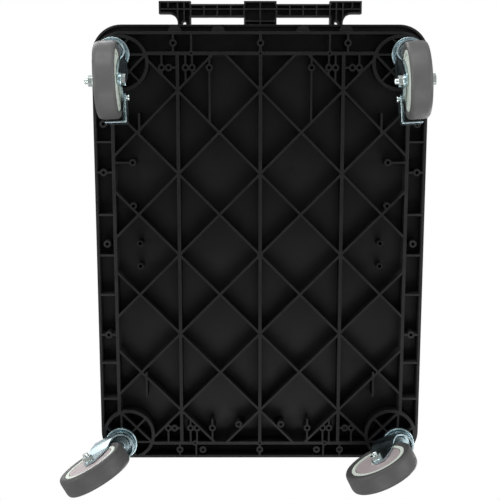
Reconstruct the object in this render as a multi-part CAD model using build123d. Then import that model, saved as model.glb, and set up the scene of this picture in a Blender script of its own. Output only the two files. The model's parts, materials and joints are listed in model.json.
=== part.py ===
from build123d import *
import os
from math import atan2, cos, degrees, hypot, radians, sin

os.makedirs("parts", exist_ok=True)

# Moulded platform trolley with a folding push handle and four swivel casters.
# Millimetres. Origin: on the deck's load surface, midway between the four casters'
# swivel axes. +Z up, +Y towards the handle's hinge, -Y towards the braked casters
# and the folded handle's grip.

# Deck moulding
deck_width = 463.0
deck_length = 617.0
deck_middle_y = -6.0
deck_corner_r = 41.0
plate_t = 4.0
lip_t = 3.0
lip_depth = 11.0
skirt_width = 458.0
skirt_length = 601.0
skirt_middle_y = -3.5
skirt_corner_r = 39.0
skirt_t = 3.6
rib_depth = 28.0
crest_z = -(plate_t + rib_depth)

# Ribs under the deck: a square lattice and its diagonals inside a frame
pitch = 113.0
long_rib_t = 4.6
diagonal_rib_t = 3.2
frame_x = 202.8
frame_y = 275.2
frame_t = 4.4
thin_rib_t = 2.6
gate_r = 4.0
boss_r = 5.0
boss_hole_r = 2.3
dimple_r = 1.3
screw_hole_r = 2.3

# Caster sockets in the deck's corners
ring_x = 189.3
ring_y = 262.6
ring_r = 37.3
ring_t = 4.5
swivel_x = 200.0
swivel_y = 273.5
socket_r = 15.0
insert_r = 9.0
insert_length = 24.0
stem_r = 5.0
stem_length = 22.0

# Casters, drawn with the swivel axis at the origin, the mounting plane at z = 0
# and the wheel trailing towards +x
wheel_r = 50.0
tread_half = 14.3
hub_r = 39.6
hub_half = 12.6
trail = 35.0
axle_z = -72.0
cup_r = 23.0
cup_t = 2.1
cup_depth = 9.0
crown_r = 20.0
crown_top_z = -7.6
crown_shoulder_r = 5.0
fork_t = 2.2
foot_half = 15.2
leg_bend_r = 25.0
kingpin_r = 6.0
upper_ball_r = 2.3
upper_ball_ring_r = 14.0
lower_ball_r = 1.8
lower_ball_ring_r = 9.8
race_r = 12.5
race_top_z = -14.4
race_t = 2.0
bolt_r = 4.0
bolt_hex = 13.0
flat_washer_t = 1.6
spring_washer_t = 2.4
sleeve_r = 6.0
running_gap = 0.05
face_gap = 0.4

# name, swivel axis x and y, heading of the trailing wheel, side of the brake
casters = [
    ("brake_left", -swivel_x, -swivel_y, 88.0, -1),
    ("brake_right", swivel_x, -swivel_y, 86.2, 1),
    ("plain_left", -swivel_x, swivel_y, 150.0, 0),
    ("plain_right", swivel_x, swivel_y, 153.5, 0),
]

# Brakes
bracket_t = 2.5
brake_pivot_x = 58.0
brake_pivot_z = -50.0
brake_pin_r = 2.0
pedal_t = 2.0
pedal_inner = 8.0
pedal_top_x = 93.0
pedal_top_z = -41.0
pedal_foot_x = 89.6
pedal_foot_z = -62.0
shoe_rest_r = 53.2

# Folding handle
hinge_y = 256.0
hinge_z = 17.0
leg_x = 105.0
tube_r = 9.5
tube_wall = 1.5
tube_end = 9.0
grip_front_y = -347.0
grip_width = 280.0
grip_t = 20.0
grip_skin = 3.5
grip_wall = 2.2
leg_width = 18.0
leg_end_y = -285.0
spigot_r = 7.9
spigot_length = 40.0
beam_depth = 17.4
beam_drop = 4.0
block_width = 45.0
block_length = 57.0
tie_y = -294.0
tie_depth = 12.0
horn_depth = 17.0
horn_fillet = 13.0
cross_y = 209.0
cross_r = 8.0
rod_r = 5.0
sector_r = 26.0
sector_t = 5.0

# Latch
latch_y = 292.0
latch_z = 11.5
latch_pin_r = 3.0
tooth_angle = 20.0
tooth_gap = 0.5
pad_width = 60.0


def save(name, shape):
    """Write one sub-part as parts/NAME.step."""
    shape.label = name
    export_step(shape, f"parts/{name}.step")


def group(shapes):
    """Several separate solids that share one node."""
    solids = []
    for shape in shapes:
        solids.extend(shape.solids())
    return Compound(children=solids)


def side_prism(points, y0, y1):
    """Solid of an outline in x and z, from y0 to y1."""
    face = Plane.XZ.offset(-y0) * make_face(Polyline(*points, close=True))
    return extrude(face, amount=y0 - y1)


def end_prism(points, x0, x1):
    """Solid of an outline in y and z, from x0 to x1."""
    face = Plane.YZ.offset(x0) * make_face(Polyline(*points, close=True))
    return extrude(face, amount=x1 - x0)


def upright(radius, z0, z1, x=0.0, y=0.0):
    """Vertical cylinder."""
    return Pos(x, y, (z0 + z1) / 2) * Cylinder(radius, abs(z1 - z0))


def along_x(radius, x0, x1, y=0.0, z=0.0):
    """Cylinder along X."""
    return Pos((x0 + x1) / 2, y, z) * Rot(0, 90, 0) * Cylinder(radius, abs(x1 - x0))


def along_y(radius, y0, y1, x=0.0, z=0.0):
    """Cylinder along Y."""
    return Pos(x, (y0 + y1) / 2, z) * Rot(90, 0, 0) * Cylinder(radius, abs(y1 - y0))


def hexagon_y(across_flats, y0, y1, x=0.0, z=0.0):
    """Hexagonal head or nut along Y."""
    face = RegularPolygon(across_flats / 2, 6, major_radius=False)
    return extrude(Plane.XZ.offset(-y0) * Pos(x, z) * face, amount=y0 - y1)


def bar(x0, y0, x1, y1, width):
    """Flat strip of the given width from one point to another."""
    length = hypot(x1 - x0, y1 - y0)
    turn = degrees(atan2(y1 - y0, x1 - x0))
    return Pos((x0 + x1) / 2, (y0 + y1) / 2) * Rot(0, 0, turn) * Rectangle(length, width)


# ---------------------------------------------------------------- deck

# Screw bosses and short ribs under the deck, by end, as distances from the middle.
# Each cluster rib runs from the end frame to the y given with its x.
end_sign = {"braked": -1, "hinge": 1}
channel_y = {"braked": 289.0, "hinge": 285.0}
cluster_y = {"braked": 256.4, "hinge": 252.5}
channel_bosses = {"braked": [118.5], "hinge": [116.0]}
channel_ribs = {"braked": [94.0], "hinge": [92.2]}
free_bosses = {"braked": [], "hinge": [82.6]}
cluster_bosses = {
    "braked": [134.4, 125.0, 102.0, 93.0, 69.5],
    "hinge": [132.4, 123.4, 100.2, 91.0, 68.6],
}
cluster_ribs = {
    "braked": [(134.4, 247.0), (102.0, 238.0), (93.0, 247.0), (69.5, 182.5)],
    "hinge": [(132.4, 245.0), (100.2, 239.0), (91.0, 247.0), (68.6, 239.0)],
}
frame_dimple_x = [-94.0, 0.0, 94.0]
diagonal_boss = (30.5, 247.0)
side_bosses = [(176.3, -128.4), (176.5, -68.6)]
dimples = [(168.0, -16.0), (168.0, 16.0)]
ladder_ribs_y = [-156.4, -114.8, -56.0, 0.8, 57.0, 114.8, 155.7, 208.9]
ladder_bosses = [(217.0, -114.8), (215.2, 114.8), (214.2, -15.4), (215.6, -180.9)]
stub_ribs = [(166.2, -195.6, -168.6), (162.6, 169.0, 206.0)]
hook_boss_x = [57.5, 116.0]
hinge_screws = [(123.4, 252.5), (82.6, 285.0), (116.0, 285.0)]
latch_screws = [(30.5, 247.0), (-30.5, 247.0), (0.0, 285.0)]


def lattice_sketch():
    """Long ribs and diagonals, clipped to the frame."""
    lines = Rectangle(long_rib_t, 2 * frame_y)
    for side in (-1, 1):
        lines += Pos(side * pitch) * Rectangle(long_rib_t, 2 * frame_y)
    for step in range(-4, 5):
        for turn in (-45, 45):
            lines += Pos(step * pitch) * Rot(0, 0, turn) * Rectangle(1000, diagonal_rib_t)
    lines = lines & Rectangle(2 * frame_x, 2 * frame_y)
    outer = Rectangle(2 * frame_x + frame_t, 2 * frame_y + frame_t)
    lines += Circle(gate_r)
    return lines + (outer - Rectangle(2 * frame_x - frame_t, 2 * frame_y - frame_t))


def end_sketch(end):
    """Bosses and short ribs beside one end frame, on both halves."""
    way = end_sign[end]
    wall_y = skirt_length / 2 + 3
    stub_x = cluster_bosses[end][1]
    stub_y = way * cluster_y[end]
    items = bar(0, way * frame_y, 0, way * wall_y, thin_rib_t + 1)
    items += Pos(0, way * channel_y[end]) * Circle(boss_r)
    for half in (-1, 1):
        for x in channel_bosses[end] + channel_ribs[end]:
            items += bar(half * x, way * frame_y, half * x, way * wall_y, thin_rib_t)
        for x in channel_bosses[end] + free_bosses[end]:
            items += Pos(half * x, way * channel_y[end]) * Circle(boss_r)
        for x, low in cluster_ribs[end]:
            items += bar(half * x, way * frame_y, half * x, way * low, thin_rib_t)
        items += bar(half * stub_x, stub_y, half * pitch, stub_y, thin_rib_t)
        for x in cluster_bosses[end]:
            items += Pos(half * x, way * cluster_y[end]) * Circle(boss_r)
    for x in frame_dimple_x:
        items += Pos(x, way * frame_y) * Circle(boss_r - 1.2)
    return items


def side_sketch():
    """Bosses and ladder ribs along both long sides."""
    items = Sketch()
    for half in (-1, 1):
        for y in ladder_ribs_y:
            items += bar(half * frame_x, y, half * skirt_width / 2, y, thin_rib_t)
        for x, y in ladder_bosses + side_bosses:
            items += Pos(half * x, y) * Circle(boss_r)
        boss_x, boss_y = side_bosses[0]
        items += bar(half * boss_x, boss_y, half * frame_x, boss_y, thin_rib_t)
        for x, low, high in stub_ribs:
            items += bar(half * x, low, half * x, high, thin_rib_t)
        items += Pos(half * diagonal_boss[0], diagonal_boss[1]) * Circle(boss_r)
        for x, y in dimples:
            items += Pos(half * x, y) * Circle(boss_r - 1)
    return items


def boss_holes():
    """Every blind screw hole that opens on the underside."""
    holes = Sketch()
    for end, way in end_sign.items():
        spots = [(0.0, channel_y[end])]
        for x in channel_bosses[end] + free_bosses[end]:
            spots += [(x, channel_y[end]), (-x, channel_y[end])]
        for x in cluster_bosses[end]:
            spots += [(x, cluster_y[end]), (-x, cluster_y[end])]
        for x, y in spots:
            holes += Pos(x, way * y) * Circle(boss_hole_r)
        for x in frame_dimple_x:
            holes += Pos(x, way * frame_y) * Circle(dimple_r)
    for half in (-1, 1):
        for x, y in ladder_bosses + side_bosses + [diagonal_boss]:
            holes += Pos(half * x, y) * Circle(boss_hole_r)
    return holes


def corner_sketch(x_way, y_way):
    """Ring, chord, radial ribs and stem socket of one corner."""
    centre_x = x_way * ring_x
    centre_y = y_way * ring_y
    axis_x = x_way * swivel_x
    axis_y = y_way * swivel_y
    disc = Pos(centre_x, centre_y) * Circle(ring_r)
    spokes = Sketch()
    for turn in range(0, 360, 45):
        end_x = axis_x + 80 * cos(radians(turn))
        end_y = axis_y + 80 * sin(radians(turn))
        spokes += bar(axis_x, axis_y, end_x, end_y, thin_rib_t)
    chord_offset = 15.6
    chord_turn = 45 * x_way * y_way + 90
    chord_x = centre_x - x_way * chord_offset * cos(radians(45))
    chord_y = centre_y - y_way * chord_offset * sin(radians(45))
    spokes += Pos(chord_x, chord_y) * Rot(0, 0, chord_turn) * Rectangle(80, diagonal_rib_t)
    ring = disc - Pos(centre_x, centre_y) * Circle(ring_r - ring_t)
    return ring + (spokes & disc) + Pos(axis_x, axis_y) * Circle(socket_r)


def deck():
    """The one-piece moulded platform."""
    skirt_outer = Pos(0, skirt_middle_y) * RectangleRounded(skirt_width, skirt_length, skirt_corner_r)
    skirt_inner = Pos(0, skirt_middle_y) * RectangleRounded(
        skirt_width - 2 * skirt_t, skirt_length - 2 * skirt_t, skirt_corner_r - skirt_t
    )
    ribs = lattice_sketch() + end_sketch("braked") + end_sketch("hinge") + side_sketch()
    corners = [(-1, -1), (-1, 1), (1, -1), (1, 1)]
    for x_way, y_way in corners:
        ribs -= Pos(x_way * ring_x, y_way * ring_y) * Circle(ring_r - 1)
        outside = Pos(x_way * (ring_x + 40), y_way * (ring_y + 40)) * Rectangle(80, 80)
        ribs -= outside
    for x_way, y_way in corners:
        ribs += corner_sketch(x_way, y_way)
    ribs -= boss_holes()
    for _, x, y, _, _ in casters:
        ribs -= Pos(x, y) * Circle(insert_r + running_gap)
    for half in (-1, 1):
        for x, y in dimples:
            ribs -= Pos(half * x, y) * Circle(boss_r - 2.4)
    underside = (ribs & skirt_outer) + (skirt_outer - skirt_inner)
    body = Pos(0, 0, crest_z) * extrude(underside, amount=rib_depth)

    top = Pos(0, deck_middle_y) * RectangleRounded(deck_width, deck_length, deck_corner_r)
    top_inner = Pos(0, deck_middle_y) * RectangleRounded(
        deck_width - 2 * lip_t, deck_length - 2 * lip_t, deck_corner_r - lip_t
    )
    plate = extrude(top, amount=-plate_t)
    plate = fillet(plate.edges().group_by(Axis.Z)[-1], 2.5)
    lip = extrude(top - top_inner, amount=-lip_depth)
    body += plate
    body += lip & Pos(0, 0, -lip_depth / 2 - 2.5) * Box(1000, 1000, lip_depth)

    hook_r = 9.0
    hook_y = skirt_middle_y - skirt_length / 2
    for half in (-1, 1):
        for x in hook_boss_x:
            hook = upright(hook_r, crest_z + 2, -plate_t, half * x, hook_y)
            body += hook & Pos(0, hook_y - hook_r, 0) * Box(1000, 2 * hook_r, 100)

    screw_spots = latch_screws + hinge_screws + [(-x, y) for x, y in hinge_screws]
    for x, y in screw_spots:
        body -= upright(screw_hole_r, -25, 1, x, y)
    return body


# ---------------------------------------------------------------- casters


def stem_insert():
    """Threaded steel insert moulded into the deck."""
    body = upright(insert_r, 0.3, insert_length)
    for z in (6.0, 12.0, 18.0):
        body -= upright(insert_r + 1, z, z + 2) - upright(insert_r - 1, z, z + 2)
    return body - upright(stem_r + running_gap, 0, insert_length)


def swivel_stem():
    """Stem and kingpin in one, closed below by its riveted head."""
    head_z = race_top_z - race_t
    body = upright(stem_r, -cup_t, stem_length) + upright(kingpin_r, head_z, -cup_t)
    head = upright(7.5, head_z - 2.8, head_z)
    return body + fillet(head.edges().group_by(Axis.Z)[0], 1.8)


def swivel_cup():
    """Upper race: a shallow pressed cup over the fork's crown."""
    body = upright(cup_r, -cup_depth, 0)
    body = fillet(body.edges().group_by(Axis.Z)[-1], 2.0)
    body -= upright(cup_r - cup_t, -cup_depth - 1, -cup_t)
    return body - upright(stem_r + running_gap, -5, 5)


def race_washer():
    """Lower race, with pressed steps that show from below."""
    body = upright(race_r, race_top_z - race_t, race_top_z)
    body -= upright(race_r - 1.5, race_top_z - race_t, race_top_z - race_t + 0.6)
    body += upright(race_r - 3.0, race_top_z - race_t, race_top_z)
    return body - upright(kingpin_r + running_gap, race_top_z - 5, race_top_z + 5)


def swivel_balls():
    """Two rows of loose balls above and below the crown."""
    balls = []
    upper_z = (crown_top_z - cup_t) / 2
    lower_z = (crown_top_z - fork_t + race_top_z) / 2
    rows = [(upper_ball_r, upper_ball_ring_r, upper_z), (lower_ball_r, lower_ball_ring_r, lower_z)]
    for radius, ring_radius, z in rows:
        for step in range(10):
            turn = radians(36 * step)
            spot = Pos(ring_radius * cos(turn), ring_radius * sin(turn), z)
            balls.append(spot * Sphere(radius))
    return balls


def fork_core(inset):
    """The fork's outer shape, or its hollow when inset by the sheet's thickness."""
    bend_z = -34.0
    straight_z = -52.0
    below_z = -120.0
    half = [(-crown_r, crown_top_z), (-crown_r, bend_z), (-foot_half, straight_z), (-foot_half, below_z)]
    section = make_face(Polyline(*half, *[(-y, z) for y, z in reversed(half)], close=True))
    shoulders = section.vertices().group_by(Axis.Y)[-1]
    section = fillet(shoulders, crown_shoulder_r)
    bends = section.vertices().filter_by_position(Axis.Y, straight_z, bend_z)
    section = fillet(bends, leg_bend_r)
    if inset:
        section = offset(section, amount=-inset)
    shape = extrude(Plane.YZ.offset(-40) * section, amount=120)
    crown = upright(crown_r - inset, -90, crown_top_z - inset)
    crown = fillet(crown.edges().group_by(Axis.Z)[-1], crown_shoulder_r - inset)
    behind = Pos(50, 0, -55 - inset) * Box(100, 100, 90)
    return (shape & crown) + (shape & behind)


def fork():
    """Drawn fork: deep round crown, two wide legs bent in to the axle."""
    side = [
        (-30, 0), (-30, -24), (-13, -25.5), (-4, -28.5), (4, -41), (11.5, -60), (16.5, -71),
        (27, -86), (39.5, -86), (43, -76), (43, -66), (30.5, -8), (23, 0),
    ]
    outline = make_face(Polyline(*side, close=True))
    outline = fillet(outline.vertices().group_by(Axis.Y)[0], 8)
    body = extrude(Plane.XZ.offset(30) * outline, amount=-60) & fork_core(0)
    body -= fork_core(fork_t)
    race = upright(11.8, crown_top_z - fork_t - 0.3, crown_top_z - fork_t)
    body += race - upright(7.6, -30, 0)
    body -= upright(kingpin_r + face_gap + 0.2, -30, 0)
    return body - along_y(bolt_r + running_gap, -40, 40, trail, axle_z)


def axle_sleeve():
    """Spacer tube that the hub turns on."""
    half = foot_half - fork_t
    body = along_y(sleeve_r, -half, half, trail, axle_z)
    return body - along_y(bolt_r + running_gap, -half, half, trail, axle_z)


def axle_faces(brake_side):
    """Where the bolt's head (-y) and nut (+y) bear, outside legs, bracket and washers."""
    washers = flat_washer_t + spring_washer_t
    packing = {-1: (bracket_t, washers), 0: (0, 0), 1: (washers, bracket_t)}
    head, nut = packing[brake_side]
    return -foot_half - head, foot_half + nut


def axle_bolt(brake_side):
    """Hex-head axle bolt."""
    head_y, nut_y = axle_faces(brake_side)
    head = hexagon_y(bolt_hex, head_y - 5.3, head_y, trail, axle_z)
    tip = along_y(bolt_r, head_y, nut_y + 11.5, trail, axle_z)
    return head + chamfer(tip.edges().group_by(Axis.Y)[-1], 0.8)


def axle_nut(brake_side):
    """Hex nut with a round washer face."""
    _, nut_y = axle_faces(brake_side)
    body = hexagon_y(bolt_hex, nut_y + 0.8, nut_y + 6.6, trail, axle_z)
    body += along_y(8.0, nut_y, nut_y + 0.8, trail, axle_z)
    return body - along_y(bolt_r + 0.01, nut_y, nut_y + 7, trail, axle_z)


def axle_washers(brake_side):
    """Flat and spring washer on a braked caster, on the side without the bracket."""
    way = -brake_side
    middle = way * (foot_half + flat_washer_t)
    flat = along_y(8.5, way * foot_half, middle, trail, axle_z)
    split = along_y(7.0, middle, middle + way * spring_washer_t, trail, axle_z)
    split -= Pos(trail + 6, middle, axle_z) * Rot(12, 0, 0) * Box(6, 20, 1.0)
    return [ring - along_y(bolt_r + 0.02, -40, 40, trail, axle_z) for ring in (flat, split)]


def around_axle(points):
    """Ring turned from an outline given as radius and y."""
    outline = Polyline(*[(radius, y) for radius, y in points], close=True)
    solid = revolve(make_face(outline), Axis.Y)
    return Pos(trail, 0, axle_z) * solid


def tyre():
    """Soft tread with round shoulders, moulded on the hub's rim."""
    half = tread_half
    body = around_axle([
        (hub_r - 3.6, -2.6), (hub_r, -4.0), (hub_r, -hub_half - 0.1), (wheel_r - 5.0, -half),
        (wheel_r - 2.2, -half + 0.7), (wheel_r - 0.6, -half + 3.0), (wheel_r, -half + 6.5),
        (wheel_r, half - 6.5), (wheel_r - 0.6, half - 3.0), (wheel_r - 2.2, half - 0.7),
        (wheel_r - 5.0, half), (hub_r, hub_half + 0.1), (hub_r, 4.0), (hub_r - 3.6, 2.6),
    ])
    return body


def hub():
    """Moulded wheel centre: rim, web, six ribs and barrel."""
    rim_inner = 34.2
    barrel_r = 10.0
    web_half = 2.0
    body = around_axle([
        (sleeve_r + running_gap, -hub_half), (barrel_r, -hub_half), (barrel_r, -web_half),
        (rim_inner, -web_half), (rim_inner, -hub_half), (hub_r, -hub_half), (hub_r, -4.0),
        (hub_r - 3.6, -2.6), (hub_r - 3.6, 2.6), (hub_r, 4.0), (hub_r, hub_half),
        (rim_inner, hub_half), (rim_inner, web_half), (barrel_r, web_half),
        (barrel_r, hub_half), (sleeve_r + running_gap, hub_half),
    ])
    rib_length = rim_inner - barrel_r + 2
    for turn in range(0, 360, 60):
        rib = Pos((rim_inner + barrel_r) / 2, 0, 0) * Box(rib_length, 16, 2.4)
        body += Pos(trail, 0, axle_z) * Rot(0, turn, 0) * rib
    return body


def wheel_covers():
    """Two dished discs that close the hub's hollows."""
    covers = []
    for side in (-1, 1):
        near = side * 10.2
        far = side * 11.6
        disc = around_axle([
            (10.4, near), (33.2, near), (33.2, far + side * 0.5), (31.6, far), (16.0, far),
            (13.0, far + side * 0.5), (10.4, far + side * 0.5),
        ])
        covers.append(disc)
    return covers


def brake_bracket(side):
    """Plate under the axle's fastener that carries the pedal's pin."""
    y0 = side * foot_half
    y1 = side * (foot_half + bracket_t)
    dx = brake_pivot_x - trail
    dz = brake_pivot_z - axle_z
    length = hypot(dx, dz)
    strip = Pos((trail + brake_pivot_x) / 2, 0, (axle_z + brake_pivot_z) / 2)
    strip *= Rot(0, -degrees(atan2(dz, dx)), 0)
    body = strip * Pos(0, (y0 + y1) / 2, 0) * Box(length, bracket_t, 10)
    body += along_y(9.0, y0, y1, trail, axle_z)
    body += along_y(5.0, y0, y1, brake_pivot_x, brake_pivot_z)
    body -= along_y(bolt_r + running_gap, y0, y1, trail, axle_z)
    return body - along_y(brake_pin_r + 0.02, y0, y1, brake_pivot_x, brake_pivot_z)


def brake_pin(side):
    """Shouldered rivet that the pedal turns on."""
    start = foot_half
    spring_end = start + bracket_t + face_gap + pedal_t + 2.8
    body = along_y(brake_pin_r, side * start, side * spring_end, brake_pivot_x, brake_pivot_z)
    head_end = side * (spring_end + 1.4)
    return body + along_y(4.2, side * spring_end, head_end, brake_pivot_x, brake_pivot_z)


def pedal_plane(side):
    """Inner and outer y of the pedal's side arm."""
    inner = foot_half + bracket_t + face_gap
    return side * inner, side * (inner + pedal_t)


def pedal_back(z):
    """Outer face of the pedal's slanted end flange at one height."""
    slope = (pedal_top_x - pedal_foot_x) / (pedal_top_z - pedal_foot_z)
    return pedal_foot_x + slope * (z - pedal_foot_z)


def brake_pedal(side):
    """Bent steel pedal: side arm, sloped tread and a slanted flange behind the tyre."""
    arm_in, arm_out = pedal_plane(side)
    far = -side * pedal_inner
    arm_foot_z = -60.0
    arm = [
        (51.5, -50), (54, -56), (62, -57), (84, arm_foot_z), (pedal_back(arm_foot_z), arm_foot_z),
        (pedal_top_x, pedal_top_z), (64, -27), (59, -30),
    ]
    body = side_prism(arm, arm_in, arm_out)
    body += along_y(5.5, arm_in, arm_out, brake_pivot_x, brake_pivot_z)
    tread = [(64, -27), (pedal_top_x, pedal_top_z), (pedal_top_x - 0.9, -42.8), (63.1, -28.8)]
    body += side_prism(tread, far, arm_out)
    flange = [
        (pedal_top_x - pedal_t, pedal_top_z - 1), (pedal_top_x, pedal_top_z),
        (pedal_foot_x, pedal_foot_z), (pedal_foot_x - pedal_t, pedal_foot_z),
    ]
    body += side_prism(flange, far, arm_out)
    return body - along_y(brake_pin_r + running_gap, arm_in, arm_out, brake_pivot_x, brake_pivot_z)


def brake_shoe(side):
    """Block behind the tread, hollowed to the tyre's curve."""
    top_z = -46.5
    low_z = -59.5
    far = side * 13.0
    near = -side * 7.0
    fit = pedal_t + 0.02
    block = [(80, top_z), (pedal_back(top_z) - fit, top_z), (pedal_back(low_z) - fit, low_z), (83, low_z)]
    body = side_prism(block, near, far)
    return body - along_y(shoe_rest_r, near, far, trail, axle_z)


def brake_spring(side):
    """Torsion spring round the pin, outside the pedal's arm."""
    coil_r = 3.0
    wire_r = 0.4
    turns = 2
    coil_pitch = 0.9
    path = Helix(coil_pitch, coil_pitch * turns, coil_r)
    start = Plane(path @ 0, z_dir=path % 0)
    coil = sweep(start * Circle(wire_r), path=path)
    arm_end = abs(pedal_plane(side)[1])
    return Pos(brake_pivot_x, side * (arm_end + 0.5), brake_pivot_z) * Rot(-side * 90, 0, 0) * coil


def place(shape, caster):
    """Move a caster piece from its own frame to its corner."""
    _, x, y, heading, _ = caster
    return Pos(x, y, crest_z) * Rot(0, 0, heading) * shape


# ---------------------------------------------------------------- handle


def grip_outline():
    """The grip head from above, with its two finger windows."""
    top = grip_front_y
    outer = Rectangle(2 * leg_x, beam_depth)
    outline = Pos(0, top + beam_drop + beam_depth / 2) * outer
    outline += Pos(0, tie_y) * Rectangle(2 * leg_x, tie_depth)
    outline += Pos(0, top + block_length / 2) * Rectangle(block_width, block_length)
    horn_length = grip_width / 2 - leg_x
    for half in (-1, 1):
        leg_length = leg_end_y - top
        outline += Pos(half * leg_x, top + leg_length / 2) * Rectangle(leg_width, leg_length)
        horn_x = half * (leg_x + horn_length / 2)
        outline += Pos(horn_x, top + horn_depth / 2) * Rectangle(horn_length, horn_depth)
        root_x = half * (leg_x + leg_width / 2)
        root_y = top + horn_depth
        web = Pos(root_x + half * horn_fillet / 2, root_y + horn_fillet / 2)
        web *= Rectangle(horn_fillet, horn_fillet)
        outline += web - Pos(root_x + half * horn_fillet, root_y + horn_fillet) * Circle(horn_fillet)
    return outline


def grip_ribs():
    """Stiffening ribs in the grip head's open underside."""
    top = grip_front_y
    rib = 1.8
    mid_y = top + beam_drop + 0.4 * beam_depth
    ribs = Pos(0, mid_y) * Rectangle(grip_width, rib)
    ribs += Pos(0, top + block_length / 2) * Rectangle(rib, block_length)
    ribs += Pos(0, top + 27.0) * Rectangle(block_width, rib)
    beam_start = block_width / 2
    beam_length = leg_x - leg_width / 2 - beam_start
    for half in (-1, 1):
        ribs += Pos(half * leg_x, top + 30) * Rectangle(rib, 60)
        ribs += Pos(half * leg_x, top + 30) * Circle(4.6)
        ribs += Pos(half * (leg_x + leg_width / 2)) * Pos(0, top + 15) * Rectangle(rib, 30)
        ribs += Pos(half * (leg_x - leg_width / 2)) * Pos(0, top + 15) * Rectangle(rib, 30)
        ribs += Pos(half * beam_start, top + 20) * Rectangle(rib, 40)
        ribs += Pos(half * (leg_x + 22), top + 4.5) * Rectangle(rib, 9)
        for step in (1, 2, 3):
            x = half * (beam_start + beam_length * step / 4)
            ribs += Pos(x, top + 22) * Rectangle(rib, 44)
            ribs += Pos(x, tie_y) * Rectangle(rib, tie_depth)
    return ribs


def grip_head():
    """Moulded grip: smooth on top, ribbed and open below, with two spigots."""
    outline = grip_outline()
    bottom = hinge_z - grip_t / 2
    body = Pos(0, 0, bottom) * extrude(outline, amount=grip_t)
    pocket = offset(outline, amount=-grip_wall) - grip_ribs()
    body -= Pos(0, 0, bottom) * extrude(pocket, amount=grip_t - grip_skin)
    for half in (-1, 1):
        x = half * leg_x
        body += along_y(spigot_r, leg_end_y - 8, leg_end_y + spigot_length, x, hinge_z)
        body -= upright(2.5, 0, 40, x, grip_front_y + 30)
        body -= upright(1.9, 0, hinge_z, x, leg_end_y + spigot_length / 2)
    return body


def handle_tube(half):
    """Steel leg tube, drilled for the hinge rod and the grip's screw."""
    x = half * leg_x
    end_y = hinge_y + tube_end
    body = along_y(tube_r, leg_end_y, end_y, x, hinge_z)
    body -= along_y(tube_r - tube_wall, leg_end_y, end_y, x, hinge_z)
    body -= along_x(rod_r + running_gap, x - 20, x + 20, hinge_y, hinge_z)
    return body - upright(2.1, 0, hinge_z, x, leg_end_y + spigot_length / 2)


def coped_tube(y, bore_r):
    """Tube between the legs, coped to their round sides."""
    body = along_x(cross_r, -leg_x, leg_x, y, hinge_z)
    body -= along_x(bore_r, -leg_x, leg_x, y, hinge_z)
    for half in (-1, 1):
        body -= along_y(tube_r, y - 20, y + 20, half * leg_x, hinge_z)
    return body


def grip_screw(half):
    """Pan-head screw through the tube into the spigot."""
    x = half * leg_x
    y = leg_end_y + spigot_length / 2
    low = hinge_z - tube_r
    return upright(1.85, low, hinge_z - 1, x, y) + upright(3.4, low - 1.8, low, x, y)


def fan(radius, start, end, x0, x1):
    """Pie slice about the hinge axis between two angles from +Y."""
    steps = 8
    points = [(hinge_y, hinge_z)]
    for step in range(steps + 1):
        turn = radians(start + (end - start) * step / steps)
        points.append((hinge_y + radius * cos(turn), hinge_z + radius * sin(turn)))
    return end_prism(points, x0, x1)


def lock_sector():
    """Notched sector plate on the pivot tube; the latch's tooth drops in it."""
    half = sector_t / 2
    body = along_x(sector_r, -half, half, hinge_y, hinge_z) & fan(60, 78, 142, -half, half)
    body -= fan(60, 90 + tooth_angle - 6.5, 90 + tooth_angle + 6.5, -half, half) - along_x(
        sector_r - 4, -half, half, hinge_y, hinge_z
    )
    return body - along_x(cross_r, -half, half, hinge_y, hinge_z)


def hinge_bracket(half):
    """Base plate, outer ear and the stop that the upright leg leans on."""
    base_t = 3.0
    ear_in = leg_x + tube_r + 0.5
    ear_t = 3.5
    base = Pos(103, 265.5, base_t / 2) * Box(56, 51, base_t)
    base = fillet(base.edges().filter_by(Axis.Z), 5)
    ear = [(242, 0), (276, 0), (276, 38), (271, 50), (262, 50), (244, 27)]
    body = base + end_prism(ear, ear_in, ear_in + ear_t)
    stop_y = hinge_y + tube_r + 0.5
    body += Pos(ear_in / 2 + 48.5, stop_y + 1.5, 40.5) * Box(ear_in - 97, 3, 19)
    body -= along_x(rod_r + running_gap, ear_in - 1, ear_in + 9, hinge_y, hinge_z)
    for x, y in hinge_screws:
        body -= upright(2.7, -1, base_t + 1, x, y)
    return body if half > 0 else mirror(body, about=Plane.YZ)


def hinge_rod():
    """Fixed rod through both ears, both legs and the pivot tube."""
    reach = leg_x + tube_r + 0.5 + 3.5 + 6.0
    return along_x(rod_r, -reach, reach, hinge_y, hinge_z)


def rod_nut(half):
    """Hex cap nut on the rod's end."""
    start = leg_x + tube_r + 0.5 + 3.5
    face = Plane.YZ.offset(start) * Pos(hinge_y, hinge_z) * RegularPolygon(8.0, 6, major_radius=False)
    body = extrude(face, amount=6.0)
    body += along_x(7.2, start + 6.0, start + 8.5, hinge_y, hinge_z)
    body -= along_x(rod_r + 0.01, start, start + 6.2, hinge_y, hinge_z)
    return body if half > 0 else mirror(body, about=Plane.YZ)


def deck_screw(x, y, plate):
    """Pan-head screw that holds a bracket of the given thickness."""
    head = fillet(upright(4.4, plate, plate + 2.6, x, y).edges().group_by(Axis.Z)[-1], 1.2)
    return upright(2.25, -20, plate, x, y) + head


def rest_pad(half):
    """Rubber rest under the folded handle's leg."""
    pad = upright(8.0, 0, hinge_z - grip_t / 2 - 0.3, half * leg_x, leg_end_y - 18)
    return fillet(pad.edges().group_by(Axis.Z)[-1], 1.0)


# ---------------------------------------------------------------- latch


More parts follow.
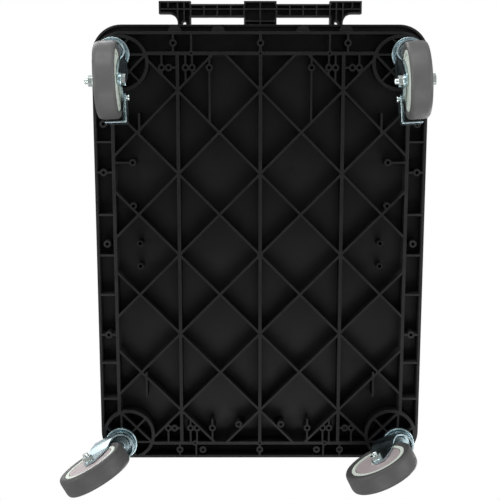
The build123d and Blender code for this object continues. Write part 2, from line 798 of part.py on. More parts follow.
def latch_bracket():
    """Plate with two ears for the latch's pin."""
    base_t = 2.5
    base = Pos(0, 267, base_t / 2) * Box(76, 62, base_t)
    base = fillet(base.edges().filter_by(Axis.Z), 6)
    body = base
    ear = [(284, 0), (297, 0), (299, 13), (295, 18), (289, 18), (285, 13)]
    for side in (-1, 1):
        body += end_prism(ear, side * 14, side * 16.5)
    body -= along_x(latch_pin_r + 0.02, -20, 20, latch_y, latch_z)
    for x, y in latch_screws:
        body -= upright(2.7, -1, base_t + 1, x, y)
    return body


def latch_lever():
    """Steel pawl: its tooth faces the sector, its tail carries the foot pad."""
    reach = sector_r + tooth_gap
    turn = radians(tooth_angle)
    tip_y = hinge_y + reach * cos(turn)
    tip_z = hinge_z + reach * sin(turn)
    body = [
        (tip_y, tip_z - 1.6), (tip_y + 3.2, tip_z - 5.6), (287.5, 9.6), (latch_y, 7.0), (296.5, 9.2),
        (305, 13.5), (305, 16.4), (296, 16.4), (290, 22), (tip_y + 4.5, tip_z + 3.0),
        (tip_y, tip_z + 1.6),
    ]
    lever = end_prism(body, -2.4, 2.4) + along_x(6.0, -12.6, 12.6, latch_y, latch_z)
    return lever - along_x(latch_pin_r + running_gap, -20, 20, latch_y, latch_z)


def latch_pedal():
    """Moulded foot pad over the lever's tail."""
    pad = Pos(0, 302.5, 19.4) * Box(pad_width, 11, 5)
    pad = fillet(pad.edges().filter_by(Axis.Z), 3)
    pad = fillet(pad.edges().group_by(Axis.Z)[-1], 1.2)
    saddle = Pos(0, 301.5, 15.4) * Box(14, 6, 3.2) - Pos(0, 301.5, 14.7) * Box(5.0, 20, 3.6)
    return pad + saddle


def latch_pin():
    """Pin through the ears and the lever's barrel, with rivet heads."""
    body = along_x(latch_pin_r, -17.5, 17.5, latch_y, latch_z)
    for side in (-1, 1):
        body += along_x(4.6, side * 16.7, side * 18.2, latch_y, latch_z)
    return body


def build():
    """Make every node."""
    save("deck", deck())
    save("stem_inserts", group([place(stem_insert(), c) for c in casters]))
    save("swivel_stems", group([place(swivel_stem(), c) for c in casters]))
    save("swivel_cups", group([place(swivel_cup(), c) for c in casters]))
    save("race_washers", group([place(race_washer(), c) for c in casters]))
    save("swivel_balls", group([place(ball, c) for c in casters for ball in swivel_balls()]))

    for caster in casters:
        name = caster[0]
        side = caster[4]
        save(f"fork_{name}", place(fork(), caster))
        save(f"axle_bolt_{name}", place(axle_bolt(side), caster))
        fasteners = [axle_nut(side)] + (axle_washers(side) if side else [])
        save(f"axle_nut_{name}", group([place(item, caster) for item in fasteners]))
        save(f"axle_sleeve_{name}", place(axle_sleeve(), caster))
        save(f"tyre_{name}", place(tyre(), caster))
        save(f"hub_{name}", place(hub(), caster))
        save(f"wheel_covers_{name}", group([place(cover, caster) for cover in wheel_covers()]))
        if side:
            save(f"brake_bracket_{name}", place(brake_bracket(side), caster))
            save(f"brake_pin_{name}", place(brake_pin(side), caster))
            save(f"brake_pedal_{name}", place(brake_pedal(side), caster))
            save(f"brake_shoe_{name}", place(brake_shoe(side), caster))
            save(f"brake_spring_{name}", place(brake_spring(side), caster))

    halves = (-1, 1)
    save("grip_head", grip_head())
    save("grip_screws", group([grip_screw(half) for half in halves]))
    save("handle_tubes", group([handle_tube(half) for half in halves]))
    save("cross_tube", coped_tube(cross_y, cross_r - tube_wall))
    save("pivot_tube", coped_tube(hinge_y, rod_r + running_gap))
    save("lock_sector", lock_sector())
    save("hinge_brackets", group([hinge_bracket(half) for half in halves]))
    save("hinge_rod", hinge_rod())
    save("rod_nuts", group([rod_nut(half) for half in halves]))
    screws = [deck_screw(half * x, y, 3.0) for half in halves for x, y in hinge_screws]
    screws += [deck_screw(x, y, 2.5) for x, y in latch_screws]
    save("deck_screws", group(screws))
    save("rest_pads", group([rest_pad(half) for half in halves]))
    save("latch_bracket", latch_bracket())
    save("latch_lever", latch_lever())
    save("latch_pedal", latch_pedal())
    save("latch_pin", latch_pin())


build()
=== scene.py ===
import json
import math

import bmesh
import bpy
from mathutils import Matrix, Vector


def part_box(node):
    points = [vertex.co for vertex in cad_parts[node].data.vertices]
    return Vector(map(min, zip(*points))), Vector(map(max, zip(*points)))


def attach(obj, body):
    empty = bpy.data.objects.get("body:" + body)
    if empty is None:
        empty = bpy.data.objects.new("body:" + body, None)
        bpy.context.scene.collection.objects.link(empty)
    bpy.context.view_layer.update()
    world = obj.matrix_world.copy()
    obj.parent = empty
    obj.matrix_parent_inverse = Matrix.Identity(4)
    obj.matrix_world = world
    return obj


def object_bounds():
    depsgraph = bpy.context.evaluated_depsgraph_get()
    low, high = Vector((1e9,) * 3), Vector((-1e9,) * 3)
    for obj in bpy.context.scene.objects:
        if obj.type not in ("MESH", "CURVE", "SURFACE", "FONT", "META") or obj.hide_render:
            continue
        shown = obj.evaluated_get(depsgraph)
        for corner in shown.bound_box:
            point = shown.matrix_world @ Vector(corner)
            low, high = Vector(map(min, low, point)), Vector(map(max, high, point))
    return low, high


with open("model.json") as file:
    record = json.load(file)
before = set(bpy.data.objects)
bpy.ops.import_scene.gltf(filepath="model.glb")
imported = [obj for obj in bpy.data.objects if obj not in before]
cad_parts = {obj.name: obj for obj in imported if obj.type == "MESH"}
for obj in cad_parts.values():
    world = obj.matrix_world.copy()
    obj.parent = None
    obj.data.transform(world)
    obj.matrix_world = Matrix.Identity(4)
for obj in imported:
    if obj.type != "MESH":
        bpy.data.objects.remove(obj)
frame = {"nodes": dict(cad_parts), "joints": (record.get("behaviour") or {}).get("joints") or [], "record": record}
cad_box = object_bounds()
nodes = frame["nodes"]
mm = 0.001

BRAKED = ("brake_left", "brake_right")
CASTERS = BRAKED + ("plain_left", "plain_right")

CREST_Z = -32 * mm  # underside of the deck's ribs
SIDE_LIGHT_X = 206 * mm  # from here out the deck's underside has painted light on its side strips
SIDE_LIGHT_EDGE = 16 * mm
# lighter crest tone: partly scuffing, partly painted highlight
CREST_SCUFF_AND_HIGHLIGHT = (0.009, 0.009, 0.0092)
# painted light: lighter tone for the side strips' floors, where the lamps hardly reach
SIDE_PAINTED_LIGHT = (0.026, 0.026, 0.0262)

SHEET_ROUNDING = 0.5 * mm
SMALL_ROUNDING = 0.35 * mm
TYRE_ROUNDING = 1.0 * mm


# ---------------------------------------------------------------- materials


class Surface:
    """A material under construction: its node tree and its Principled shader."""

    def __init__(self, name, colour, roughness, metallic=0.0, specular=0.5):
        self.material = bpy.data.materials.new(name)
        self.material.use_nodes = True
        self.tree = self.material.node_tree
        self.shader = self.tree.nodes["Principled BSDF"]
        self.shader.inputs["Base Color"].default_value = (*colour, 1.0)
        self.shader.inputs["Roughness"].default_value = roughness
        self.shader.inputs["Metallic"].default_value = metallic
        self.shader.inputs["Specular IOR Level"].default_value = specular
        self.place = self.tree.nodes.new("ShaderNodeTexCoord").outputs["Object"]
        self.height = None

    def rounded(self, radius):
        """Shade every sharp edge as if it were rounded by this radius."""
        made = self.node("ShaderNodeBevel", samples=6)
        made.inputs["Radius"].default_value = radius
        self.height = made.outputs["Normal"]
        self.link(self.height, self.shader.inputs["Normal"])

    def link(self, source, target):
        self.tree.links.new(source, target)

    def node(self, kind, **settings):
        made = self.tree.nodes.new(kind)
        for key, value in settings.items():
            setattr(made, key, value)
        return made

    def stretched(self, x, y, z):
        """Object coordinates multiplied along each axis."""
        scale = self.node("ShaderNodeMapping")
        scale.inputs["Scale"].default_value = (x, y, z)
        self.link(self.place, scale.inputs["Vector"])
        return scale.outputs["Vector"]

    def noise(self, grain, detail=3.0, place=None):
        """Noise whose blotches are about `grain` metres across."""
        made = self.node("ShaderNodeTexNoise")
        made.inputs["Scale"].default_value = 1.0 / grain
        made.inputs["Detail"].default_value = detail
        self.link(place or self.place, made.inputs["Vector"])
        return made.outputs["Fac"]

    def cells(self, grain):
        """Voronoi distance with cells about `grain` metres across."""
        made = self.node("ShaderNodeTexVoronoi")
        made.inputs["Scale"].default_value = 1.0 / grain
        self.link(self.place, made.inputs["Vector"])
        return made.outputs["Distance"]

    def ramp(self, value, low, high, start=0.0, end=1.0):
        """Value mapped from low..high to start..end, clamped."""
        made = self.node("ShaderNodeMapRange")
        made.inputs["From Min"].default_value = low
        made.inputs["From Max"].default_value = high
        made.inputs["To Min"].default_value = start
        made.inputs["To Max"].default_value = end
        self.link(value, made.inputs["Value"])
        return made.outputs["Result"]

    def maths(self, operation, first, second):
        made = self.node("ShaderNodeMath", operation=operation)
        for socket, value in zip(made.inputs, (first, second)):
            if isinstance(value, (int, float)):
                socket.default_value = value
            else:
                self.link(value, socket)
        return made.outputs["Value"]

    def axis(self, letter):
        """One object coordinate."""
        made = self.node("ShaderNodeSeparateXYZ")
        self.link(self.place, made.inputs["Vector"])
        return made.outputs[letter]

    def tint(self, mask, colour):
        """Mix the colour so far towards another one where the mask is high."""
        made = self.node("ShaderNodeMix", data_type="RGBA")
        target = self.shader.inputs["Base Color"]
        if target.is_linked:
            self.link(target.links[0].from_socket, made.inputs["A"])
        else:
            made.inputs["A"].default_value = tuple(target.default_value)
        made.inputs["B"].default_value = (*colour, 1.0)
        self.link(mask, made.inputs["Factor"])
        self.link(made.outputs["Result"], target)

    def gloss(self, mask, low, high):
        """Roughness from low to high with the mask."""
        self.link(self.ramp(mask, 0.0, 1.0, low, high), self.shader.inputs["Roughness"])

    def bump(self, height, depth, strength=1.0):
        """One more layer of relief, `depth` metres deep."""
        made = self.node("ShaderNodeBump")
        made.inputs["Distance"].default_value = depth
        made.inputs["Strength"].default_value = strength
        self.link(height, made.inputs["Height"])
        if self.height is not None:
            self.link(self.height, made.inputs["Normal"])
        self.height = made.outputs["Normal"]
        self.link(self.height, self.shader.inputs["Normal"])


def black_plastic(name, colour, crest_z=None, side_light_x=None):
    """Textured black polypropylene: fine grain, faint flow marks, lighter rib crests (partly scuffing, partly
    painted highlight) and painted light on the side strips.
    """
    s = Surface(name, colour, 0.5, specular=0.22)
    s.rounded(0.7 * mm)
    s.tint(s.ramp(s.noise(0.06, 4.0), 0.42, 0.72, 0.0, 0.7), tuple(c * 1.9 for c in colour))
    # painted light: the side strips at the deck's outer edges, below its top, are lightened where the lamps hardly
    # reach them
    if side_light_x is not None:
        out = s.ramp(s.maths("ABSOLUTE", s.axis("X"), 0.0), side_light_x - SIDE_LIGHT_EDGE, side_light_x)
        under = s.ramp(s.axis("Z"), -4 * mm, -7 * mm, 0.0, 0.85)
        s.tint(s.maths("MULTIPLY", out, under), SIDE_PAINTED_LIGHT)
    # rib crests lightened in noisy patches: partly scuffing, partly a painted highlight
    if crest_z is not None:
        near = s.ramp(s.axis("Z"), crest_z + 0.6 * mm, crest_z)
        scuff_and_highlight = s.ramp(s.noise(0.02, 5.0), 0.35, 0.7, 0.35, 0.9)
        s.tint(s.maths("MULTIPLY", near, scuff_and_highlight), CREST_SCUFF_AND_HIGHLIGHT)
    s.gloss(s.ramp(s.noise(0.012, 3.0), 0.3, 0.7), 0.36, 0.52)
    s.bump(s.noise(0.9 * mm, 2.0), 0.05 * mm, 0.5)
    s.bump(s.noise(0.03, 2.0), 0.4 * mm, 0.4)
    return s.material


def zinc(name, colour, low, high):
    """Bright zinc plate: pale bluish mirror, softly clouded, with faint rolling marks."""
    s = Surface(name, colour, low, metallic=1.0)
    s.tint(s.ramp(s.noise(0.02, 2.0), 0.4, 0.75, 0.0, 0.4), tuple(c * 0.9 for c in colour))
    s.tint(s.ramp(s.noise(0.04, 2.0), 0.55, 0.8, 0.0, 0.15), (0.7, 0.72, 0.6))
    s.gloss(s.ramp(s.noise(15 * mm, 1.0), 0.3, 0.7), low, high)
    s.bump(s.noise(25 * mm, 1.0, s.stretched(1.0, 1.0, 0.3)), 0.02 * mm, 0.2)
    return s.material


def coated_tube(name):
    """Black powder coat with orange peel."""
    s = Surface(name, (0.012, 0.012, 0.013), 0.34, specular=0.45)
    s.tint(s.ramp(s.noise(0.04, 3.0), 0.5, 0.8, 0.0, 0.5), (0.022, 0.022, 0.024))
    s.gloss(s.ramp(s.noise(0.01, 3.0), 0.3, 0.7), 0.26, 0.4)
    s.bump(s.cells(1.6 * mm), 0.05 * mm, 0.35)
    return s.material


def grey_rubber(name):
    """Grey rubber with dust and fine scuffs; painted shade darkens the pair without brakes."""
    s = Surface(name, (0.092, 0.092, 0.091), 0.48, specular=0.42)
    s.tint(s.ramp(s.noise(0.02, 4.0), 0.42, 0.72, 0.0, 0.5), (0.118, 0.119, 0.117))
    # painted shade: the pair without brakes, towards +Y, is darkened
    plain_pair_painted_shade = s.ramp(s.axis("Y"), 0.1, 0.2, 0.0, 0.6)
    s.tint(plain_pair_painted_shade, (0.045, 0.045, 0.0445))
    s.tint(s.ramp(s.noise(2.5 * mm, 4.0), 0.6, 0.8, 0.0, 0.35), (0.072, 0.072, 0.07))
    s.gloss(s.ramp(s.noise(6 * mm, 3.0), 0.3, 0.7), 0.42, 0.6)
    s.bump(s.noise(0.6 * mm, 3.0), 0.03 * mm, 0.5)
    return s.material


def hub_plastic(name, colour):
    """Pale moulded wheel plastic, faintly mottled."""
    s = Surface(name, colour, 0.35, specular=0.5)
    s.tint(s.ramp(s.noise(0.014, 3.0), 0.45, 0.75, 0.0, 0.4), tuple(c * 0.88 for c in colour))
    s.gloss(s.ramp(s.noise(5 * mm, 3.0), 0.3, 0.7), 0.3, 0.45)
    s.bump(s.noise(1.2 * mm, 2.0), 0.03 * mm, 0.4)
    return s.material


def black_rubber(name):
    """Matt black rubber."""
    s = Surface(name, (0.014, 0.014, 0.014), 0.7, specular=0.3)
    s.tint(s.ramp(s.noise(8 * mm, 4.0), 0.45, 0.75, 0.0, 0.6), (0.03, 0.03, 0.03))
    s.gloss(s.ramp(s.noise(3 * mm, 3.0), 0.3, 0.7), 0.6, 0.8)
    s.bump(s.noise(0.8 * mm, 3.0), 0.05 * mm, 0.6)
    return s.material


materials = {
    "deck_plastic": black_plastic("deck_plastic", (0.0042, 0.0042, 0.0044), CREST_Z, SIDE_LIGHT_X),
    "grip_plastic": black_plastic("grip_plastic", (0.02, 0.02, 0.0204), 7 * mm),
    "pedal_plastic": black_plastic("pedal_plastic", (0.008, 0.008, 0.0082)),
    "plated_steel": zinc("plated_steel", (0.5, 0.63, 0.67), 0.22, 0.32),
    "bracket_steel": zinc("bracket_steel", (0.64, 0.72, 0.76), 0.26, 0.38),
    "fastener_steel": zinc("fastener_steel", (0.7, 0.77, 0.76), 0.2, 0.32),
    "ball_steel": zinc("ball_steel", (0.8, 0.8, 0.82), 0.1, 0.2),
    "tube_steel": coated_tube("tube_steel"),
    "tyre_rubber": grey_rubber("tyre_rubber"),
    "hub_plastic": hub_plastic("hub_plastic", (0.72, 0.79, 0.71)),
    "cover_plastic": hub_plastic("cover_plastic", (0.44, 0.38, 0.39)),
    "shoe_rubber": black_rubber("shoe_rubber"),
    "pad_rubber": black_rubber("pad_rubber"),
}

for subpart in frame["record"]["subparts"]:
    node = nodes[subpart["node"]]
    node.data.materials.clear()
    node.data.materials.append(materials[subpart["material_slot"]])


def round_edges(name, width, angle=35):
    """Round a CAD node's edges sharper than `angle`; its own mesh stays as it is."""
    node = nodes[name]
    join = node.modifiers.new("join", "WELD")
    join.merge_threshold = 0.002 * mm
    bevel = node.modifiers.new("bevel", "BEVEL")
    bevel.width = width
    bevel.segments = 2
    bevel.limit_method = "ANGLE"
    bevel.angle_limit = math.radians(angle)
    bevel.use_clamp_overlap = True
    shade = node.modifiers.new("shade", "WEIGHTED_NORMAL")
    shade.weight = 60
    shade.keep_sharp = False


sheet_parts = ["swivel_cups", "hinge_brackets", "latch_bracket", "lock_sector", "latch_lever"]
for caster in CASTERS:
    sheet_parts.append(f"fork_{caster}")
for caster in BRAKED:
    sheet_parts += [f"brake_bracket_{caster}", f"brake_pedal_{caster}"]
for part in sheet_parts:
    round_edges(part, SHEET_ROUNDING)
for caster in CASTERS:
    for part in ("axle_bolt", "axle_nut", "hub", "wheel_covers"):
        round_edges(f"{part}_{caster}", SMALL_ROUNDING)
    round_edges(f"tyre_{caster}", TYRE_ROUNDING, 20)


# ---------------------------------------------------------------- pieces


def make_piece(name, vertices, faces, body, slot, smooth=False):
    """A mesh piece with a CAD body to ride on and a record slot for its finish."""
    mesh = bpy.data.meshes.new(name)
    mesh.from_pydata([tuple(v) for v in vertices], [], faces)
    mesh.validate()
    tidy = bmesh.new()
    tidy.from_mesh(mesh)
    bmesh.ops.recalc_face_normals(tidy, faces=tidy.faces)
    tidy.to_mesh(mesh)
    tidy.free()
    for polygon in mesh.polygons:
        polygon.use_smooth = smooth
    mesh.materials.append(materials[slot])
    piece = bpy.data.objects.new(name, mesh)
    bpy.context.scene.collection.objects.link(piece)
    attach(piece, body)
    return piece


class Shapes:
    """Vertices and faces of many small closed solids gathered into one mesh."""

    def __init__(self):
        self.vertices = []
        self.faces = []

    def pad(self, place, half_x, half_y, height, slope):
        """Low raised bar with sloping sides; `place` puts it on its surface."""
        start = len(self.vertices)
        rings = [(half_x, half_y, -0.3 * mm), (half_x, half_y, 0.35 * height)]
        rings.append((half_x - slope, half_y - slope, height))
        for x, y, z in rings:
            for corner_x, corner_y in ((-x, -y), (x, -y), (x, y), (-x, y)):
                self.vertices.append(place @ Vector((corner_x, corner_y, z)))
        for level in (0, 4):
            for side in range(4):
                after = (side + 1) % 4
                low, high = start + level, start + level + 4
                self.faces.append((low + side, low + after, high + after, high + side))
        self.faces.append(tuple(start + i for i in (3, 2, 1, 0)))
        self.faces.append(tuple(start + 8 + i for i in range(4)))

    def tube(self, centres, radii, closed):
        """Round bar along a list of points, thicker and thinner along the way."""
        start = len(self.vertices)
        count = len(centres)
        sides = 10
        for i, (centre, radius) in enumerate(zip(centres, radii)):
            if closed:
                along = centres[(i + 1) % count] - centres[i - 1]
            else:
                along = centres[min(i + 1, count - 1)] - centres[max(i - 1, 0)]
            across = along.orthogonal().normalized()
            if i:
                across = (last - last.project(along)).normalized()
            last = across
            other = along.normalized().cross(across)
            for k in range(sides):
                turn = 2 * math.pi * k / sides
                self.vertices.append(
                    centre + radius * (math.cos(turn) * across + math.sin(turn) * other)
                )
        for i in range(count if closed else count - 1):
            here, there = start + i * sides, start + (i + 1) % count * sides
            for k in range(sides):
                after = (k + 1) % sides
                self.faces.append((here + k, here + after, there + after, there + k))
        if not closed:
            self.faces.append(tuple(start + k for k in reversed(range(sides))))
            self.faces.append(tuple(start + (count - 1) * sides + k for k in range(sides)))


def make_deck_tread():
    """Raised anti-slip lozenges on the load surface, clear of everything bolted there."""
    low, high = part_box("deck")
    margin = 24 * mm
    step = 26 * mm
    room = 12 * mm
    keep_out = [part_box(name) for name in ("hinge_brackets", "latch_bracket", "rest_pads")]
    shapes = Shapes()
    columns = int((high.x - low.x - 2 * margin) / step)
    rows = int((high.y - low.y - 2 * margin) / step)
    middle = (low + high) / 2
    for column in range(columns + 1):
        for row in range(rows + 1):
            x = middle.x + (column - columns / 2) * step
            y = middle.y + (row - rows / 2) * step
            blocked = False
            for box_low, box_high in keep_out:
                inside_x = box_low.x - room < x < box_high.x + room
                inside_y = box_low.y - room < y < box_high.y + room
                blocked = blocked or (inside_x and inside_y)
            if not blocked:
                turn = math.radians(45 if (column + row) % 2 else -45)
                place = Matrix.Translation((x, y, 0)) @ Matrix.Rotation(turn, 4, "Z")
                shapes.pad(place, 9 * mm, 2.4 * mm, 1.0 * mm, 1.3 * mm)
    make_piece("deck_tread", shapes.vertices, shapes.faces, "platform", "deck_plastic")


def make_deck_border():
    """Raised rib that runs round the load surface close to its edge."""
    low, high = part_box("deck")
    inset = 7 * mm
    corner = 34 * mm
    steps = 12
    path = []
    corners = [
        (high.x, high.y, 0), (low.x, high.y, 90), (low.x, low.y, 180), (high.x, low.y, 270),
    ]
    for x, y, start in corners:
        centre_x = x - math.copysign(inset + corner, x)
        centre_y = y - math.copysign(inset + corner, y)
        for step in range(steps + 1):
            turn = math.radians(start + 90 * step / steps)
            path.append((centre_x, centre_y, math.cos(turn), math.sin(turn)))
    section = [(-2.2, -0.3), (-1.2, 0.9), (1.2, 0.9), (2.2, -0.3)]
    vertices = []
    for centre_x, centre_y, out_x, out_y in path:
        for across, height in section:
            reach = corner + across * mm
            vertices.append((centre_x + reach * out_x, centre_y + reach * out_y, height * mm))
    faces = []
    for i in range(len(path)):
        here, there = 4 * i, 4 * ((i + 1) % len(path))
        for k in range(4):
            after = (k + 1) % 4
            faces.append((here + k, here + after, there + after, there + k))
    make_piece("deck_border", vertices, faces, "platform", "deck_plastic")


def caster_frame(name):
    """From a caster's own frame, x trailing and z up, to the row frame."""
    joints = {joint["name"]: joint for joint in frame["joints"]}
    axle = Vector(joints[f"wheel_{name}"]["axis"])
    up = Vector((0, 0, 1))
    place = Matrix((axle.cross(up), axle, up)).transposed().to_4x4()
    place.translation = Vector(joints[f"swivel_{name}"]["pos_m"])
    return place


def make_axle_thread(name):
    """Thread on the bolt's free end."""
    joints = {joint["name"]: joint for joint in frame["joints"]}
    place = caster_frame(name)
    back = place.inverted()
    axle = back @ Vector(joints[f"wheel_{name}"]["pos_m"])
    bolt = nodes[f"axle_bolt_{name}"].data
    nut = nodes[f"axle_nut_{name}"].data
    bolt_end = max((back @ v.co).y for v in bolt.vertices)
    nut_end = max((back @ v.co).y for v in nut.vertices)
    pitch = 1.25 * mm
    ridge_reach = 3.75 * mm
    ridge_r = 0.5 * mm
    start = nut_end + 0.5 * mm
    turns = (bolt_end - 1.3 * mm - start) / pitch
    count = int(turns * 24)
    centres = []
    for i in range(count + 1):
        angle = 2 * math.pi * turns * i / count
        y = start + pitch * turns * i / count
        offset = Vector((ridge_reach * math.cos(angle), y, ridge_reach * math.sin(angle)))
        centres.append(place @ (Vector((axle.x, 0, axle.z)) + offset))
    shapes = Shapes()
    shapes.tube(centres, [ridge_r] * (count + 1), False)
    body = f"fork_{name}_body"
    make_piece(f"axle_thread_{name}", shapes.vertices, shapes.faces, body, "fastener_steel", True)


def make_weld(name, tube):
    """Rippled weld where a crossing tube meets a leg, one bead at each end."""
    low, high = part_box(tube)
    legs_low, legs_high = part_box("handle_tubes")
    leg_r = (legs_high.z - legs_low.z) / 2
    leg_x = legs_high.x - leg_r
    tube_r = (high.z - low.z) / 2
    centre = (low + high) / 2
    shapes = Shapes()
    steps = 96
    bead_r = 1.25 * mm
    ripple = 0.22 * mm
    ripples = 24
    for half in (-1, 1):
        centres = []
        radii = []
        for i in range(steps):
            turn = 2 * math.pi * i / steps
            rise = tube_r * math.sin(turn)
            x = half * (leg_x - math.sqrt(leg_r**2 - rise**2))
            centres.append(Vector((x, centre.y + tube_r * math.cos(turn), centre.z + rise)))
            radii.append(bead_r + ripple * math.sin(ripples * turn))
        shapes.tube(centres, radii, True)
    make_piece(name, shapes.vertices, shapes.faces, "handle", "tube_steel", True)


def make_tube_plugs():
    """Domed plastic plugs in the legs' hinge ends."""
    low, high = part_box("handle_tubes")
    leg_r = (high.z - low.z) / 2
    leg_x = high.x - leg_r
    profile = [(7.9, -7.0), (7.9, -0.2), (7.3, 0.25), (5.0, 0.6), (2.5, 0.75)]
    sides = 32
    vertices = []
    faces = []
    for half in (-1, 1):
        start = len(vertices)
        for radius, y in profile:
            for k in range(sides):
                turn = 2 * math.pi * k / sides
                x = half * leg_x + radius * mm * math.cos(turn)
                z = (low.z + high.z) / 2 + radius * mm * math.sin(turn)
                vertices.append((x, high.y + y * mm, z))
        for ring in range(len(profile) - 1):
            here, there = start + ring * sides, start + (ring + 1) * sides
            for k in range(sides):
                after = (k + 1) % sides
                faces.append((here + k, here + after, there + after, there + k))
        faces.append(tuple(start + k for k in range(sides)))
        faces.append(tuple(start + (len(profile) - 1) * sides + k for k in range(sides)))
    make_piece("tube_plugs", vertices, faces, "handle", "pedal_plastic", True)


def make_grip_ridges():
    """Cross ridges on the grip's two hand holds."""
    low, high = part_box("grip_head")
    shapes = Shapes()
    for half in (-1, 1):
        for step in range(9):
            x = half * (33 + 6 * step) * mm
            place = Matrix.Translation((x, low.y + 12.7 * mm, high.z))
            shapes.pad(place, 1.3 * mm, 6.4 * mm, 0.8 * mm, 0.5 * mm)
    make_piece("grip_ridges", shapes.vertices, shapes.faces, "handle", "grip_plastic")


def make_latch_ridges():
    """Foot ridges on the latch's pad."""
    low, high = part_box("latch_pedal")
    shapes = Shapes()
    for step in range(9):
        x = (step - 4) * 6 * mm
        place = Matrix.Translation((x, (low.y + high.y) / 2, high.z))
        shapes.pad(place, 1.2 * mm, 3.4 * mm, 0.7 * mm, 0.45 * mm)
    make_piece("latch_ridges", shapes.vertices, shapes.faces, "latch", "pedal_plastic")


def make_pedal_ridges(name, side):
    """Pressed grip bars across a brake pedal's tread."""
    place = caster_frame(name)
    slope = math.atan2(-14, 29)
    shapes = Shapes()
    for step in range(4):
        along = 7 + 6 * step
        x = 64 + along * math.cos(slope)
        z = -27 + along * math.sin(slope)
        spot = Matrix.Translation((x * mm, side * 6 * mm, z * mm))
        tilt = Matrix.Rotation(-slope, 4, "Y")
        shapes.pad(place @ spot @ tilt, 1.2 * mm, 10 * mm, 0.8 * mm, 0.5 * mm)
    body = f"pedal_{name}_body"
    make_piece(f"pedal_ridges_{name}", shapes.vertices, shapes.faces, body, "plated_steel")


make_deck_tread()
make_deck_border()
for caster in CASTERS:
    make_axle_thread(caster)
make_weld("cross_tube_welds", "cross_tube")
make_weld("pivot_tube_welds", "pivot_tube")
make_tube_plugs()
make_grip_ridges()
make_latch_ridges()
make_pedal_ridges("brake_left", -1)
make_pedal_ridges("brake_right", 1)


# ---------------------------------------------------------------- stage


def make_floor():
    """Pale floor under the wheels. It doesn't show from below, nor shade the underside."""
    size = 30.0
    mesh = bpy.data.meshes.new("floor")
    corners = [(-size, -size, 0), (size, -size, 0), (size, size, 0), (-size, size, 0)]
    mesh.from_pydata(corners, [], [(0, 1, 2, 3)])
    floor = bpy.data.objects.new("floor", mesh)
    floor.location.z = cad_box[0].z
    bpy.context.scene.collection.objects.link(floor)
    material = bpy.data.materials.new("floor")
    material.use_nodes = True
    tree = material.node_tree
    shader = tree.nodes["Principled BSDF"]
    shader.inputs["Base Color"].default_value = (0.8, 0.8, 0.8, 1.0)
    shader.inputs["Roughness"].default_value = 0.7
    clear = tree.nodes.new("ShaderNodeBsdfTransparent")
    mix = tree.nodes.new("ShaderNodeMixShader")
    side = tree.nodes.new("ShaderNodeNewGeometry")
    tree.links.new(side.outputs["Backfacing"], mix.inputs["Fac"])
    tree.links.new(shader.outputs["BSDF"], mix.inputs[1])
    tree.links.new(clear.outputs["BSDF"], mix.inputs[2])
    tree.links.new(mix.outputs["Shader"], tree.nodes["Material Output"].inputs["Surface"])
    mesh.materials.append(material)
    floor.visible_shadow = False
    floor.visible_diffuse = False
    floor.visible_glossy = False


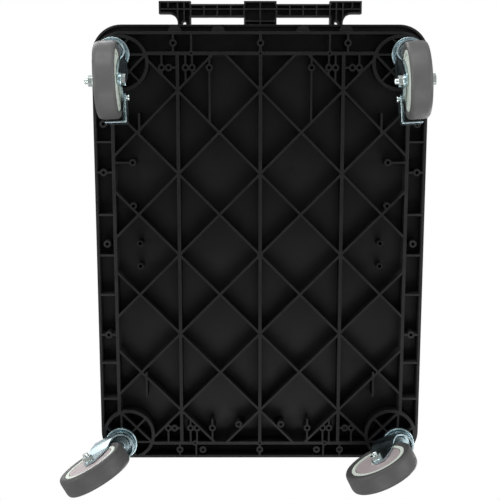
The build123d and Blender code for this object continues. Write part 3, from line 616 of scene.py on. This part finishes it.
def make_world():
    """White backdrop. The light itself is brightest at the horizon."""
    world = bpy.data.worlds.new("studio")
    bpy.context.scene.world = world
    world.use_nodes = True
    tree = world.node_tree
    tree.nodes.clear()
    seen = tree.nodes.new("ShaderNodeBackground")
    seen.inputs["Color"].default_value = (1.0, 1.0, 1.0, 1.0)
    lit = tree.nodes.new("ShaderNodeBackground")
    lit.inputs["Strength"].default_value = 0.8
    direction = tree.nodes.new("ShaderNodeTexCoord")
    split = tree.nodes.new("ShaderNodeSeparateXYZ")
    height = tree.nodes.new("ShaderNodeMapRange")
    height.inputs["From Min"].default_value = -1.0
    shades = tree.nodes.new("ShaderNodeValToRGB")
    stops = [(0.0, 0.42), (0.3, 0.4), (0.42, 0.95), (0.56, 0.95), (0.7, 0.6), (1.0, 0.6)]
    ramp = shades.color_ramp
    while len(ramp.elements) < len(stops):
        ramp.elements.new(0.5)
    for element, (position, level) in zip(ramp.elements, stops):
        element.position = position
        element.color = (level, level, level, 1.0)
    ray = tree.nodes.new("ShaderNodeLightPath")
    mix = tree.nodes.new("ShaderNodeMixShader")
    out = tree.nodes.new("ShaderNodeOutputWorld")
    tree.links.new(direction.outputs["Generated"], split.inputs["Vector"])
    tree.links.new(split.outputs["Z"], height.inputs["Value"])
    tree.links.new(height.outputs["Result"], shades.inputs["Fac"])
    tree.links.new(shades.outputs["Color"], lit.inputs["Color"])
    tree.links.new(ray.outputs["Is Camera Ray"], mix.inputs["Fac"])
    tree.links.new(lit.outputs["Background"], mix.inputs[1])
    tree.links.new(seen.outputs["Background"], mix.inputs[2])
    tree.links.new(mix.outputs["Shader"], out.inputs["Surface"])


def area_light(name, place, target, width, height, power):
    """Rectangular white lamp of so many watts at a place, facing a target."""
    light = bpy.data.lights.new(name, "AREA")
    light.shape = "RECTANGLE"
    light.size = width
    light.size_y = height
    light.energy = power
    lamp = bpy.data.objects.new(name, light)
    lamp.location = place
    direction = Vector(target) - Vector(place)
    lamp.rotation_euler = direction.to_track_quat("-Z", "Y").to_euler()
    bpy.context.scene.collection.objects.link(lamp)


def make_camera():
    """From below, square to the deck's sides and leaning towards the braked end."""
    camera = bpy.data.cameras.new("camera")
    camera.sensor_width = 36.0
    camera.lens = 80.6
    camera.shift_y = 0.149
    camera.clip_start = 0.01
    camera.clip_end = 100.0
    view = bpy.data.objects.new("camera", camera)
    right = Vector((1.0, -0.0002, -0.0021)).normalized()
    forward = Vector((0.0021, 0.1978, 0.9802)).normalized()
    up = right.cross(forward)
    place = Matrix((right, up, -forward)).transposed().to_4x4()
    place.translation = Vector((-0.0175, -0.2152, -1.5915))
    view.matrix_world = place
    bpy.context.scene.collection.objects.link(view)
    bpy.context.scene.camera = view


make_floor()
make_world()
area_light("key_below", (0.3, 2.0, -2.4), (0, 0.1, 0), 2.4, 1.6, 42)
area_light("end_below", (-0.4, -2.2, -0.9), (0, -0.2, 0), 1.6, 1.0, 30)
area_light("left_below", (-2.4, -0.2, -1.3), (0.2, -0.1, -0.1), 1.2, 1.6, 27)
area_light("right_below", (2.4, -0.2, -1.3), (-0.2, -0.1, -0.1), 1.2, 1.6, 27)
area_light("key_above", (-1.2, -1.6, 2.2), (0, 0, 0), 1.8, 1.8, 34)
area_light("rim_above", (1.6, 1.4, 1.8), (0, 0, 0), 1.6, 1.6, 28)
make_camera()
bpy.context.scene.view_settings.view_transform = "Standard"
